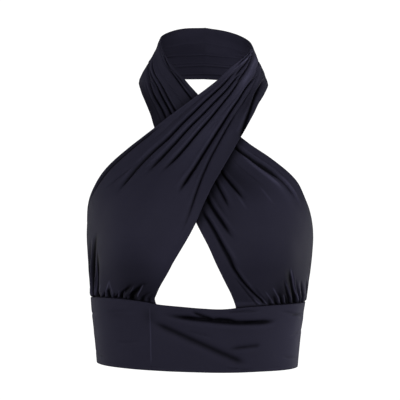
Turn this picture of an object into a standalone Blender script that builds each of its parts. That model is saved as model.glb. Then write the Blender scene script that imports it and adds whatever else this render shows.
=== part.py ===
"""Halter neck top of thin dark jersey, held up by the neck that wears it.

Two gathered front panels rise from a wide underbust band, cross over the
breastbone and run on as wide straps that meet at the nape.  The band closes
round the body; the back above it is open.  All lengths below are millimetres.
+Z is up, the front faces -Y, and the origin is the middle of the strap's
inner face at the nape.
"""

import bpy
import numpy as np

# ---------------------------------------------------------------- sizes
PANEL_WALL = 1.8      # gathered double cloth of the front panels
BAND_WALL = 2.0       # folded double cloth of the band
SEAM_GAP = 0.3        # air left between pieces that are sewn together
OVER_LIFT = 4.6       # upper panel stands off the figure at the crossing
UNDER_SINK = 3.2      # lower panel is pressed in under the crossing
PUFF = 0.4            # cloth bellies out just above the band seam
EDGE_ROLL = 2.2       # upper panel's inner margin rolls in over the crossing
NAPE_TURN = 179.85    # degrees; the straps stop just short of the nape seam
ACROSS = 42           # steps from inner to outer edge of a panel
ROUGHNESS = 0.62      # of the jersey
SHARP_ANGLE = 0.9     # radians; the walls' rims stay sharp
ALONG = (
    # row_from, row_to, steps, crowding towards row_from
    (0.0, 2.0, 9, 0.5),
    (2.0, 6.0, 9, 0.0),
    (6.0, 10.5, 8, 0.0),
    (10.5, 12.3, 8, 0.0),
    (12.3, 15.0, 6, 0.0),
)

# Worn form: ellipse-like rings round the body.
FIGURE = (
    # height, middle_x, middle_y, half_width, front, back, power
    (40.0, 2.6, -60.0, 52.0, 50.0, 55.0, 2.00),
    (12.0, 2.4, -60.0, 59.8, 55.0, 59.5, 2.00),
    (-17.0, 2.4, -60.0, 72.5, 58.0, 65.0, 2.00),
    (-30.0, 1.8, -61.0, 79.7, 58.7, 68.5, 2.00),
    (-40.0, 1.7, -62.0, 84.0, 59.0, 71.0, 2.00),
    (-48.0, 1.8, -62.5, 86.0, 59.0, 73.0, 2.00),
    (-56.0, 1.8, -63.3, 89.0, 59.0, 74.5, 2.00),
    (-75.0, 1.4, -66.0, 99.4, 59.0, 78.0, 2.05),
    (-110.0, 1.0, -73.0, 120.0, 64.0, 82.0, 2.10),
    (-150.0, 0.7, -82.0, 139.0, 72.0, 87.0, 2.20),
    (-190.0, 0.6, -90.0, 144.6, 80.0, 91.0, 2.30),
    (-240.0, 0.9, -92.0, 145.2, 86.0, 92.5, 2.30),
    (-262.0, 1.2, -92.0, 144.9, 87.0, 92.5, 2.30),
    (-282.0, 1.1, -92.0, 143.9, 88.0, 92.5, 2.30),
    (-327.0, 0.2, -92.0, 140.0, 90.0, 92.0, 2.30),
    (-345.0, -0.1, -92.0, 137.9, 89.4, 91.0, 2.30),
    (-370.0, 0.2, -92.0, 134.9, 88.0, 89.5, 2.30),
    (-395.0, 0.5, -92.0, 132.4, 87.0, 87.7, 2.30),
    (-418.0, 0.8, -92.0, 130.5, 86.0, 86.0, 2.30),
)
# The two cups, as one soft swelling either side of the middle.
CUP_TURN = 36.0       # degrees from straight ahead
CUP_SPREAD = 20.0     # degrees
CUP_HEIGHT = -250.0
CUP_ABOVE = 128.0     # how far up the swelling reaches
CUP_BELOW = 77.0      # how far down
CUP_DEPTH = 42.0

# Panel edges: rows run from the band seam (0) to the nape (15).  A row gives
# either x as seen from the front or the turn round the body in degrees.
OVER_INNER = (
    # row, by, place, height
    (0.0, "x", -52.6, -330.5),
    (0.2, "x", -54.2, -325.5),
    (0.5, "x", -51.6, -317.0),
    (1.0, "x", -42.8, -299.5),
    (2.0, "x", -30.6, -276.5),
    (3.0, "x", -17.3, -251.3),
    (4.0, "x", -4.4, -227.3),
    (5.0, "x", 6.5, -203.0),
    (6.0, "x", 18.0, -179.0),
    (7.0, "x", 30.0, -156.0),
    (8.0, "x", 42.0, -134.0),
    (9.0, "x", 54.0, -112.0),
    (10.0, "x", 65.5, -90.0),
    (11.0, "x", 77.6, -67.5),
    (12.0, "turn", 85.5, -47.5),
    (13.0, "turn", 120.0, -40.0),
    (14.0, "turn", 150.0, -36.5),
    (15.0, "turn", NAPE_TURN, -34.8),
)
OVER_OUTER = (
    (0.0, "turn", -109.0, -330.0),
    (1.0, "turn", -104.0, -292.0),
    (2.0, "turn", -96.0, -256.0),
    (3.0, "turn", -86.0, -225.0),
    (4.0, "x", -139.8, -192.0),
    (5.0, "x", -122.4, -163.0),
    (6.0, "x", -96.2, -138.4),
    (7.0, "x", -66.0, -115.8),
    (8.0, "x", -38.4, -93.2),
    (9.0, "x", -11.4, -71.1),
    (10.0, "x", 16.5, -47.5),
    (11.0, "x", 42.5, -22.5),
    (12.0, "turn", 80.0, 4.0),
    (12.5, "turn", 100.0, 13.0),
    (13.0, "turn", 120.0, 20.5),
    (14.0, "turn", 150.0, 29.5),
    (15.0, "turn", NAPE_TURN, 34.2),
)
UNDER_INNER = (
    (0.0, "x", 48.2, -332.5),
    (0.25, "x", 46.2, -325.5),
    (0.5, "x", 43.4, -319.0),
    (1.0, "x", 35.4, -304.5),
    (2.0, "x", 22.8, -281.0),
    (3.0, "x", 10.0, -255.5),
    (4.0, "x", -4.0, -227.0),
    (5.0, "x", -15.0, -204.0),
    (6.0, "x", -26.0, -180.0),
    (7.0, "x", -37.5, -156.5),
    (8.0, "x", -49.0, -132.5),
    (9.0, "x", -60.6, -109.0),
    (10.0, "x", -69.2, -86.0),
    (11.0, "x", -78.1, -65.0),
    (12.0, "turn", -86.0, -48.0),
    (13.0, "turn", -120.0, -40.0),
    (14.0, "turn", -150.0, -36.5),
    (15.0, "turn", -NAPE_TURN, -34.8),
)
UNDER_OUTER = (
    (0.0, "turn", 109.0, -330.0),
    (1.0, "turn", 104.0, -294.0),
    (2.0, "turn", 96.0, -260.0),
    (3.0, "turn", 82.0, -234.0),
    (4.0, "x", 136.9, -200.8),
    (5.0, "x", 124.8, -174.6),
    (6.0, "x", 100.5, -151.9),
    (7.0, "x", 74.5, -132.9),
    (8.0, "x", 45.1, -111.9),
    (9.0, "x", 14.0, -84.0),
    (10.0, "x", -14.0, -55.0),
    (11.0, "x", -41.0, -25.5),
    (12.0, "turn", -79.0, 9.5),
    (12.5, "turn", -100.0, 18.0),
    (13.0, "turn", -120.0, 24.5),
    (14.0, "turn", -150.0, 32.0),
    (15.0, "turn", -NAPE_TURN, 34.2),
)
# Where one panel lies on the other, in rows, at its inner and outer edge.
CROSS_INNER = (4.0, 9.0)
CROSS_OUTER = (8.0, 9.8)
CROSS_BEFORE = 2.3    # rows ahead of it where a panel starts to lift or sink
CROSS_RISE = 1.8      # rows it takes
CROSS_AFTER = 2.1     # rows beyond it where the panel is back on the figure
CROSS_FALL = 1.6
ROLL_ROWS = (5.6, 12.2)   # where the upper panel's inner margin rolls in
ROLL_FADE = 1.6       # rows
ROLL_REACH = 0.16     # across
LEVEL_ROWS = 1.6      # rows over which a panel levels out from the band seam
PUFF_ROWS = (0.25, 0.2, 1.3)  # rows to swell, row where it fades, rows to fade
GATHER_START = 0.12   # rows from the seam to a gather's full depth
GATHER_GAIN = 1.3     # deepest just above the seam

# Pleats and gathers: each is a valley that runs along a panel.
# across runs 0 (inner edge) to 1 (outer edge); a pleat's four places across
# are at its first row, a third and two thirds of the way, and its last row.
OVER_FOLDS = (
    # row_from, row_to, across_0, across_1, across_2, across_3, depth, width, rise, fall
    (4.2, 11.0, 0.705, 0.763, 0.795, 0.860, 3.2, 0.036, 0.14, 0.12),
    (5.2, 11.1, 0.602, 0.660, 0.663, 0.750, 3.2, 0.034, 0.15, 0.12),
    (5.4, 11.0, 0.512, 0.516, 0.524, 0.650, 3.3, 0.034, 0.20, 0.10),
    (4.8, 11.6, 0.270, 0.268, 0.327, 0.470, 3.4, 0.036, 0.14, 0.12),
    (2.6, 10.6, 0.045, 0.118, 0.188, 0.285, 2.2, 0.028, 0.35, 0.25),
    (8.4, 11.8, -0.010, 0.042, 0.135, 0.340, 3.8, 0.056, 0.20, 0.12),
    (10.5, 11.95, 0.640, 0.690, 0.800, 1.040, 2.8, 0.040, 0.25, 0.15),
    (10.6, 11.75, 0.760, 0.815, 0.880, 1.010, 2.4, 0.034, 0.25, 0.15),
    (3.4, 7.6, 0.964, 0.962, 0.962, 0.968, 2.0, 0.026, 0.25, 0.20),
    (11.2, 13.8, 0.600, 0.590, 0.560, 0.520, 1.4, 0.036, 0.35, 0.40),
    (12.4, 15.0, 0.240, 0.250, 0.260, 0.260, 0.8, 0.036, 0.40, 0.00),
)
UNDER_FOLDS = (
    (5.3, 7.8, 0.858, 0.847, 0.829, 0.812, 3.6, 0.044, 0.30, 0.10),
    (4.1, 6.6, 0.888, 0.876, 0.858, 0.841, 1.9, 0.050, 0.30, 0.40),
    (4.5, 6.9, 0.455, 0.460, 0.462, 0.470, 3.1, 0.034, 0.40, 0.15),
    (4.2, 6.4, 0.310, 0.325, 0.340, 0.335, 2.4, 0.030, 0.40, 0.15),
    (2.9, 5.6, 0.205, 0.200, 0.187, 0.178, 3.2, 0.034, 0.40, 0.15),
    (0.0, 2.4, 0.245, 0.133, 0.096, 0.093, 3.0, 0.030, 0.07, 0.333),
    (1.6, 4.8, 0.096, 0.101, 0.106, 0.088, 3.0, 0.030, 0.25, 0.25),
    (8.9, 11.9, 0.398, 0.412, 0.483, 0.640, 2.6, 0.032, 0.10, 0.15),
    (8.9, 11.7, 0.304, 0.317, 0.362, 0.510, 3.2, 0.034, 0.10, 0.20),
    (8.9, 12.0, 0.199, 0.209, 0.246, 0.600, 2.6, 0.036, 0.25, 0.12),
    (9.2, 11.7, 0.808, 0.825, 0.880, 1.050, 1.8, 0.034, 0.20, 0.20),
    (11.4, 13.8, 0.420, 0.440, 0.460, 0.480, 1.4, 0.036, 0.35, 0.40),
    (12.4, 15.0, 0.230, 0.240, 0.250, 0.260, 0.8, 0.036, 0.40, 0.00),
)
# Gathers stand up from the band seam and lean by so much across on the way.
OVER_GATHERS = (
    # across, reach in rows, lean, depth, width
    (0.060, 0.45, -0.040, 1.3, 0.018),
    (0.119, 0.55, -0.070, 1.6, 0.020),
    (0.205, 0.84, -0.100, 3.1, 0.026),
    (0.250, 0.45, -0.080, 1.6, 0.014),
    (0.293, 0.72, -0.100, 2.8, 0.020),
    (0.333, 0.45, -0.085, 2.0, 0.015),
    (0.364, 0.40, -0.085, 2.2, 0.016),
    (0.405, 0.50, -0.100, 2.8, 0.020),
    (0.452, 0.35, -0.060, 1.8, 0.016),
    (0.512, 1.80, 0.035, 3.4, 0.030),
    (0.607, 2.20, 0.060, 3.8, 0.040),
    (0.655, 0.60, 0.010, 2.0, 0.016),
    (0.700, 2.30, 0.015, 3.0, 0.024),
    (0.742, 1.50, 0.020, 2.4, 0.018),
    (0.786, 2.10, 0.015, 2.9, 0.020),
    (0.845, 1.90, 0.010, 2.7, 0.020),
    (0.893, 1.20, 0.000, 2.2, 0.018),
    (0.940, 1.50, 0.000, 2.0, 0.018),
    (0.980, 0.80, 0.000, 1.3, 0.016),
)
UNDER_GATHERS = (
    (0.286, 0.35, -0.030, 1.5, 0.016),
    (0.333, 0.45, -0.035, 1.8, 0.016),
    (0.381, 0.55, -0.040, 2.0, 0.016),
    (0.420, 0.45, -0.030, 1.6, 0.016),
    (0.460, 1.15, -0.055, 2.6, 0.018),
    (0.510, 1.45, -0.060, 3.2, 0.024),
    (0.557, 1.00, -0.035, 2.5, 0.018),
    (0.605, 0.80, -0.035, 2.4, 0.018),
    (0.667, 0.95, -0.030, 2.7, 0.020),
    (0.714, 1.00, 0.010, 2.3, 0.018),
    (0.762, 1.60, 0.010, 2.6, 0.018),
    (0.810, 1.15, 0.008, 2.3, 0.018),
    (0.857, 1.50, 0.006, 2.4, 0.018),
    (0.929, 1.20, 0.002, 2.0, 0.018),
    (0.976, 0.65, 0.000, 1.3, 0.016),
)

# Band: top edge and hem by turn round the body.
BAND_TOP = (
    # turn, height
    (-180.0, -353.0), (-150.0, -346.0), (-122.0, -334.0), (-105.0, -330.5),
    (-90.0, -329.5), (-62.0, -326.8), (-42.0, -328.8), (-30.0, -331.8),
    (-12.0, -334.0), (4.0, -335.6), (19.0, -336.1), (28.0, -334.8),
    (45.0, -332.0), (65.0, -330.0), (90.0, -329.5), (105.0, -330.5),
    (122.0, -334.0), (150.0, -346.0), (180.0, -353.0),
)
HEM = (
    (-180.0, -415.0), (-120.0, -413.5), (-90.0, -413.0), (-66.0, -414.1),
    (-44.0, -415.0), (-22.0, -415.6), (0.0, -415.9), (15.0, -416.0),
    (33.0, -415.6), (50.0, -414.6), (66.0, -414.2), (90.0, -413.4),
    (120.0, -413.8), (180.0, -415.0),
)
SEAM_TURN = -35.5     # upright seam left of the middle of the band
SIDE_TURN = 97.0      # side seams, just behind the widest point
GAP_TURN = 0.065      # degrees, half a seam gap round the band
BAND_FOLDS = (
    # turn_from, turn_to, height_0, height_1, height_2, height_3, depth, width, rise, fall
    (-26.0, 58.5, -344.9, -349.0, -352.6, -351.0, 2.7, 5.6, 0.16, 0.14),
    (-35.4, 38.0, -352.9, -370.3, -386.8, -404.0, 1.8, 8.0, 0.12, 0.20),
)


# ---------------------------------------------------------------- helpers
def cubic(table_x, table_y, at):
    """Smooth curve through a short table."""
    order = np.argsort(np.asarray(table_x, float))
    xs = np.asarray(table_x, float)[order]
    ys = np.asarray(table_y, float)[order]
    step = np.diff(xs)
    rate = np.diff(ys) / step
    slope = np.empty(len(xs))
    slope[0] = rate[0]
    slope[-1] = rate[-1]
    slope[1:-1] = (rate[1:] * step[:-1] + rate[:-1] * step[1:]) / (step[1:] + step[:-1])
    at = np.asarray(at, float)
    k = np.clip(np.searchsorted(xs, at) - 1, 0, len(xs) - 2)
    t = (at - xs[k]) / step[k]
    return ((2 * t ** 3 - 3 * t ** 2 + 1) * ys[k]
            + (t ** 3 - 2 * t ** 2 + t) * step[k] * slope[k]
            + (3 * t ** 2 - 2 * t ** 3) * ys[k + 1]
            + (t ** 3 - t ** 2) * step[k] * slope[k + 1])


def ease(x):
    """0 to 1 with soft ends."""
    x = np.clip(x, 0.0, 1.0)
    return x * x * (3.0 - 2.0 * x)


def cup(turn, height):
    """Outward swelling of the two cups."""
    above = height > CUP_HEIGHT
    reach = np.where(above, (height - CUP_HEIGHT) / CUP_ABOVE,
                     (CUP_HEIGHT - height) / CUP_BELOW)
    tall = np.clip(1.0 - reach ** 2, 0.0, None) ** np.where(above, 2.0, 1.15)
    side = np.mod(turn + 180.0, 360.0) - 180.0
    wide = (np.exp(-0.5 * ((side - CUP_TURN) / CUP_SPREAD) ** 2)
            + np.exp(-0.5 * ((side + CUP_TURN) / CUP_SPREAD) ** 2))
    return CUP_DEPTH * tall * wide


RINGS = np.array(FIGURE)


def figure(turn, height):
    """Point of the worn form at a turn round the body and a height."""
    turn, height = np.broadcast_arrays(np.asarray(turn, float),
                                       np.asarray(height, float))
    ring = [cubic(RINGS[:, 0], RINGS[:, i], height) for i in range(1, 7)]
    middle_x, middle_y, half_width, front, back, power = ring
    s = np.sin(np.radians(turn))
    c = np.cos(np.radians(turn))
    depth = np.where(c > 0.0, front, back)
    radius = ((np.abs(s) / half_width) ** power
              + (np.abs(c) / depth) ** power) ** (-1.0 / power)
    radius = radius + cup(turn, height)
    return np.stack([middle_x + radius * s, middle_y - radius * c, height], -1)


def outward(turn, height):
    """Unit vector that points away from the body."""
    round_body = figure(turn + 0.5, height) - figure(turn - 0.5, height)
    up_body = figure(turn, height + 1.0) - figure(turn, height - 1.0)
    vector = np.cross(round_body, up_body)
    return vector / np.linalg.norm(vector, axis=-1, keepdims=True)


def turn_at(x, height):
    """Turn at which the front of the form has this x."""
    low = -88.0
    high = 88.0
    for _ in range(40):
        middle = (low + high) / 2.0
        if figure(middle, height)[0] > x:
            high = middle
        else:
            low = middle
    return (low + high) / 2.0


def edge(table, rows):
    """Turn and height of a panel edge at the given rows."""
    turns = [place if by == "turn" else turn_at(place, height)
             for _, by, place, height in table]
    rows_of = [line[0] for line in table]
    heights = [line[3] for line in table]
    return cubic(rows_of, turns, rows), cubic(rows_of, heights, rows)


def band_top(turn):
    """Height of the band's top edge."""
    table = np.array(BAND_TOP)
    return cubic(table[:, 0], table[:, 1], np.mod(turn + 180.0, 360.0) - 180.0)


def hem(turn):
    """Height of the hem."""
    table = np.array(HEM)
    return cubic(table[:, 0], table[:, 1], np.mod(turn + 180.0, 360.0) - 180.0)


def along(t, first, second, third, last):
    """Smooth course through four evenly spaced places."""
    return cubic((0.0, 1.0 / 3.0, 2.0 / 3.0, 1.0), (first, second, third, last), t)


def folds(row, across, table):
    """Depth of all the pleats of a panel at one spot."""
    total = np.zeros(np.broadcast(row, across).shape)
    for row_0, row_1, a, b, c, d, depth, width, rise, fall in table:
        t = (row - row_0) / (row_1 - row_0)
        inside = (t >= 0.0) & (t <= 1.0)
        t = np.clip(t, 0.0, 1.0)
        fade = inside * 1.0
        if rise > 0.0:
            fade = fade * ease(t / rise)
        if fall > 0.0:
            fade = fade * ease((1.0 - t) / fall)
        off = np.abs(across - along(t, a, b, c, d)) / width
        total = total - depth * fade * np.exp(-off ** 1.6)
    return total


def gathers(row, across, table):
    """Depth of the gathers above the band seam at one spot."""
    total = np.zeros(np.broadcast(row, across).shape)
    for place, reach, lean, depth, width in table:
        t = np.clip(row / reach, 0.0, 1.0)
        off = np.abs(across - place - lean * t) / (width * (1.0 + 0.35 * t))
        fade = ease(row / GATHER_START) * (1.0 - t) ** 0.8
        total = total - GATHER_GAIN * depth * fade * np.exp(-off ** 2)
    return total


def grid_solid(name, outer, inner, colour):
    """Closed thin wall between two grids of points."""
    rows, columns = outer.shape[:2]
    count = rows * columns
    points = np.concatenate([outer.reshape(-1, 3), inner.reshape(-1, 3)]) * 0.001
    faces = []
    for i in range(rows - 1):
        for j in range(columns - 1):
            a = i * columns + j
            b = a + 1
            c = a + columns + 1
            d = a + columns
            faces.append((a, b, c, d))
            faces.append((a + count, d + count, c + count, b + count))
    for i in range(rows - 1):
        a = i * columns
        b = (i + 1) * columns
        faces.append((a, b, b + count, a + count))
        a = i * columns + columns - 1
        b = (i + 1) * columns + columns - 1
        faces.append((b, a, a + count, b + count))
    for j in range(columns - 1):
        a = j
        b = j + 1
        faces.append((b, a, a + count, b + count))
        a = (rows - 1) * columns + j
        b = a + 1
        faces.append((a, b, b + count, a + count))
    mesh = bpy.data.meshes.new(name)
    mesh.from_pydata(points.tolist(), [], faces)
    mesh.update()
    body = bpy.data.objects.new(name, mesh)
    bpy.context.scene.collection.objects.link(body)
    cloth = bpy.data.materials.new(name + "_cloth")
    cloth.use_nodes = True
    shader = cloth.node_tree.nodes["Principled BSDF"]
    shader.inputs["Base Color"].default_value = (*colour, 1.0)
    shader.inputs["Roughness"].default_value = ROUGHNESS
    mesh.materials.append(cloth)
    mesh.shade_smooth()
    mesh.set_sharp_from_angle(angle=SHARP_ANGLE)
    return body


def panel_map(rows, across, inner_table, outer_table):
    """Turn and height over a panel."""
    turn_in, height_in = edge(inner_table, rows)
    turn_out, height_out = edge(outer_table, rows)
    turn = turn_in[:, None] + (turn_out - turn_in)[:, None] * across[None, :]
    height = height_in[:, None] + (height_out - height_in)[:, None] * across[None, :]
    seam = band_top(turn) + SEAM_GAP
    flat = 1.0 - ease(rows[:, None] / LEVEL_ROWS)
    first = height[0][None, :]
    height = height + (seam[0][None, :] - first) * flat
    return turn, height


def crossing(row, across):
    """1 where the panels lie on each other, 0 well away from there."""
    start = CROSS_INNER[0] + (CROSS_OUTER[0] - CROSS_INNER[0]) * across
    end = CROSS_INNER[1] + (CROSS_OUTER[1] - CROSS_INNER[1]) * across
    return (ease((row - start + CROSS_BEFORE) / CROSS_RISE)
            * ease((end + CROSS_AFTER - row) / CROSS_FALL))


def margin_roll(row, across):
    """How far the upper panel's inner margin rolls in at the crossing."""
    fade = ease((row - ROLL_ROWS[0]) / ROLL_FADE) * ease((ROLL_ROWS[1] - row) / ROLL_FADE)
    return -EDGE_ROLL * fade * (1.0 - ease(across / ROLL_REACH))


def row_list():
    """Rows at which a panel is cut, from band seam to nape."""
    rows = [0.0]
    for row_from, row_to, steps, crowd in ALONG:
        for k in range(1, steps + 1):
            t = k / steps
            t = t * (1.0 - crowd) + crowd * t * t
            rows.append(row_from + (row_to - row_from) * t)
    return np.array(rows)


def panel(name, inner_table, outer_table, fold_table, gather_table, lift, flip, colour):
    """One front panel with its strap, from the band seam to the nape."""
    rows = row_list()
    across = np.linspace(0.0, 1.0, ACROSS + 1)
    turn, height = panel_map(rows, across, inner_table, outer_table)
    base = figure(turn, height)
    away = outward(turn, height)
    row = rows[:, None]
    over = across[None, :]
    rise = lift * crossing(row, over) + folds(row, over, fold_table)
    if lift > 0.0:
        rise = rise + margin_roll(row, over)
    rise = rise + gathers(row, over, gather_table)
    swell, fade_from, fade_rows = PUFF_ROWS
    rise = rise + PUFF * ease(row / swell) * (1.0 - ease((row - fade_from) / fade_rows))
    outer = base + away * rise[..., None]
    inner = base + away * (rise - PANEL_WALL)[..., None]
    if flip:
        outer = outer[:, ::-1]
        inner = inner[:, ::-1]
    return grid_solid(name, outer, inner, colour)


def band_creases(turn, height):
    """Soft creases of the band."""
    spot = figure(turn, height)
    total = np.zeros(turn.shape)
    for turn_0, turn_1, a, b, c, d, depth, width, rise, fall in BAND_FOLDS:
        t = np.clip((turn - turn_0) / (turn_1 - turn_0), 0.0, 1.0)
        line = along(t, a, b, c, d)
        inside = (turn > turn_0) & (turn < turn_1)
        fade = ease(t / rise) * ease((1.0 - t) / fall) * inside
        total = total - depth * fade * np.exp(-np.abs((spot[..., 2] - line) / width) ** 1.6)
    return total


def band(name, turn_from, turn_to, steps, tall, colour):
    """Part of the band between two upright seams."""
    turns = np.linspace(turn_from, turn_to, steps + 1)
    up = np.linspace(0.0, 1.0, tall + 1)
    top = band_top(turns)
    low = hem(turns)
    height = low[None, :] + (top - low)[None, :] * up[:, None]
    turn = np.broadcast_to(turns[None, :], height.shape)
    base = figure(turn, height)
    away = outward(turn, height)
    rise = band_creases(turn, height)
    outer = base + away * rise[..., None]
    inner = base + away * (rise - BAND_WALL)[..., None]
    return grid_solid(name, outer, inner, colour)


# ---------------------------------------------------------------- pieces
for item in list(bpy.data.objects):
    bpy.data.objects.remove(item, do_unlink=True)

panel("front_over", OVER_INNER, OVER_OUTER, OVER_FOLDS, OVER_GATHERS, OVER_LIFT,
      True, (0.021, 0.021, 0.032))
panel("front_under", UNDER_INNER, UNDER_OUTER, UNDER_FOLDS, UNDER_GATHERS, -UNDER_SINK,
      False, (0.022, 0.022, 0.034))
band("band_front", SEAM_TURN + GAP_TURN, SIDE_TURN - GAP_TURN, 46, 12,
     (0.023, 0.023, 0.035))
band("band_front_side", -SIDE_TURN + GAP_TURN, SEAM_TURN - GAP_TURN, 16, 6,
     (0.023, 0.023, 0.036))
band("band_back", SIDE_TURN + GAP_TURN, 360.0 - SIDE_TURN - GAP_TURN, 34, 4,
     (0.022, 0.022, 0.035))
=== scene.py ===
"""Looks of the halter neck top: fine cloth shells on the form of the solids.

The garment's lengths are in millimetres. Its turns are in degrees, from straight
ahead towards the wearer's left. The stage and the camera are in metres. A panel
is mapped by row, 0 at the band seam to 15 at the nape, and by across, 0 at its
inner edge to 1 at its outer edge.
"""

import math

import bpy
import numpy as np
from mathutils import Matrix, Vector


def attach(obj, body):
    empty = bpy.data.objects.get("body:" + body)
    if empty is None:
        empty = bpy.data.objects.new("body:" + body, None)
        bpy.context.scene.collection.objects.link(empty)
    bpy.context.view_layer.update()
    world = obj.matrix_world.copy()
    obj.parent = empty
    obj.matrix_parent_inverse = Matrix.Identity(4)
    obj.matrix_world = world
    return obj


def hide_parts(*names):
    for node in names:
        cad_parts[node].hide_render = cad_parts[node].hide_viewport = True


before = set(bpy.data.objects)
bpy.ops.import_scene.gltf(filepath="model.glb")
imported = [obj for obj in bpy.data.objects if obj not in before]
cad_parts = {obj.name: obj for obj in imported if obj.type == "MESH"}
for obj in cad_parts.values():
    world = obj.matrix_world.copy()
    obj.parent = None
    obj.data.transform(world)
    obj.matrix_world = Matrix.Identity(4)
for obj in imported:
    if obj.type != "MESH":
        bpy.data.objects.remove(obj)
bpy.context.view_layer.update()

# ---------------------------------------------------------------- cloth
MM = 0.001            # metres
PANEL_WALL = 1.8
BAND_WALL = 2.0
SEAM_GAP = 0.3        # between a panel and the band's top edge
SKIN = 0.2            # the fine shells stand this far outside the solids
OVER_LIFT = 4.6       # rise of the upper panel at the crossing
UNDER_SINK = 3.2      # fall of the lower panel there
PUFF = 0.4            # swell of a panel above the band seam
EDGE_ROLL = 2.2       # the upper panel's inner margin rolls in by this
NAPE_TURN = 180.01    # the straps meet a hair past half a turn
TUCK_IN = 2.4         # the gathered edge turns in behind the band
TUCK_IN_ROWS = (0.003, 0.013)     # row where it comes out again, rows it takes
TUCK_DOWN = 1.2
TUCK_DOWN_ROWS = 0.006
HEM_DROP = 0.2        # the fine shells' hem hangs this much lower
SEAM_WELT = 0.5       # the upright band seam stands up a little
SEAM_WELT_HALF = 0.28     # degrees
WELT_ENDS = (3.0, 6.0)    # distance from the band's top edge and from its hem
WELT_FADE = 9.0
FRONT_GAP = 0.01      # degrees, half the gap at the upright band seam
SIDE_GAP = 0.02       # degrees, half the gap at the side seams

# ---------------------------------------------------------------- painted shading
# The painted shading scales the cloth's colour: painted shade in creases, beside the panel edge
# above and at the seam, painted highlights on crests, and 1 where the cloth lies smooth.
CREASE_SHADE = 0.92   # painted shade lost at the bottom of a crease
PANEL_CREASE_FULL = 2.6   # depth at which a crease's painted shade is full
BAND_CREASE_FULL = 2.9    # the same on the band
BAND_SHADE_DROP = 0.4     # the painted shade of a band crease lies this far below it
CREST_PAINTED_HIGHLIGHT = 0.55    # painted highlight won on the crest beside a crease
CREST_FULL = 1.2      # height at which a crest's painted highlight is full
GATHER_PAINTED_HIGHLIGHT = 0.16   # painted highlight won for each millimetre of a gather's crest
GATHER_CREST_CAP = 3.0    # height above which no more is won
CONTACT_SHADE = 0.75  # painted shadow lost beside the edge of the panel above
CONTACT_REACH = 7.5   # distance over which that fades
CONTACT_POINTS = 90   # points on that edge
FAR = 1000.0          # distance where no panel lies above
SEAM_SHADE = 0.68     # painted shade lost right beside the band seam
SEAM_REACH = 0.09     # rows
WELT_PAINTED_HIGHLIGHT = 0.9      # painted highlight won on the welt of the upright band seam

# ---------------------------------------------------------------- relief
# Shape across a crease, in half widths and depths: steepness before and after
# its middle, power, and place, width and height of the soft roll beside it.
PLEAT_SHAPE = (1.30, 0.75, 1.25, 2.5, 1.4, 0.30)
BAND_SHAPE = (0.85, 1.00, 1.30, -2.6, 1.4, 0.15)
# Half width and depth, as shares of the width and depth in a table.
MAIN_CUT = (0.46, 1.20)
FINE_CUT = (0.60, 1.00)
BAND_CUT = (0.40, 1.25)
# Gathers: widths and the crest's place are shares of the width in a table.
GATHER_CUT = (0.62, 1.8)  # half width and depth, as above
GATHER_SPREAD = 0.30  # how much wider it is at its upper end
GATHER_POWER = 1.5    # of its shape across
GATHER_START = 0.03   # rows from the seam to its full depth
GATHER_FADE = 0.7     # power by which it fades upwards
CREST_PLACE = 1.35
CREST_WIDTH = 0.34
CREST_HEIGHT = 0.60   # share of the depth
CREST_ROWS = (0.02, 0.06)     # row where it starts, rows it takes
CREST_FADE = 1.2      # power by which it fades upwards
# Broad unevenness of soft cloth: heights of its waves.
BROAD_SWELL = 0.55
SMALL_SWELL = 0.25
SWELL_START = 0.4     # rows from the seam
BAND_SWELL = 0.25

# ---------------------------------------------------------------- point grids
SEAM_ROWS = (0.0, 0.003, 0.006, 0.010, 0.014, 0.018, 0.022, 0.027, 0.032, 0.040, 0.055, 0.075)
ROW_GRID = (
    # row_from, row_to, rows of points
    (0.1, 1.4, 40),
    (1.4, 11.0, 84),
    (11.0, 15.0, 52),
)
PANEL_COLUMNS = 190
PANEL_INSET = 0.010   # across, over which a margin is rounded
OVERHANG = 0.0015     # across, by which the shells pass the solids' margins
BAND_INSET = 0.006    # share of the band's depth over which an edge is rounded
EDGE_STEPS = (0.0, 0.12, 0.35, 0.7, 1.15, 1.8)    # points near an edge, in insets
SHARP_ANGLE = 1.2     # radians
PANEL_GRAIN = (0.14, 0.036)   # metres of cloth across a panel and in a row
BAND_GRAIN = (0.0023, 0.001)  # metres of cloth in a degree and in a millimetre

# ---------------------------------------------------------------- figure
FRONT_LIMIT = 88.0    # degrees either side that count as the front
HALVINGS = 40         # steps that find a turn from its x
PROBE_TURN = 0.5      # steps either side that find the way out of the body
PROBE_HEIGHT = 1.0

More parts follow.
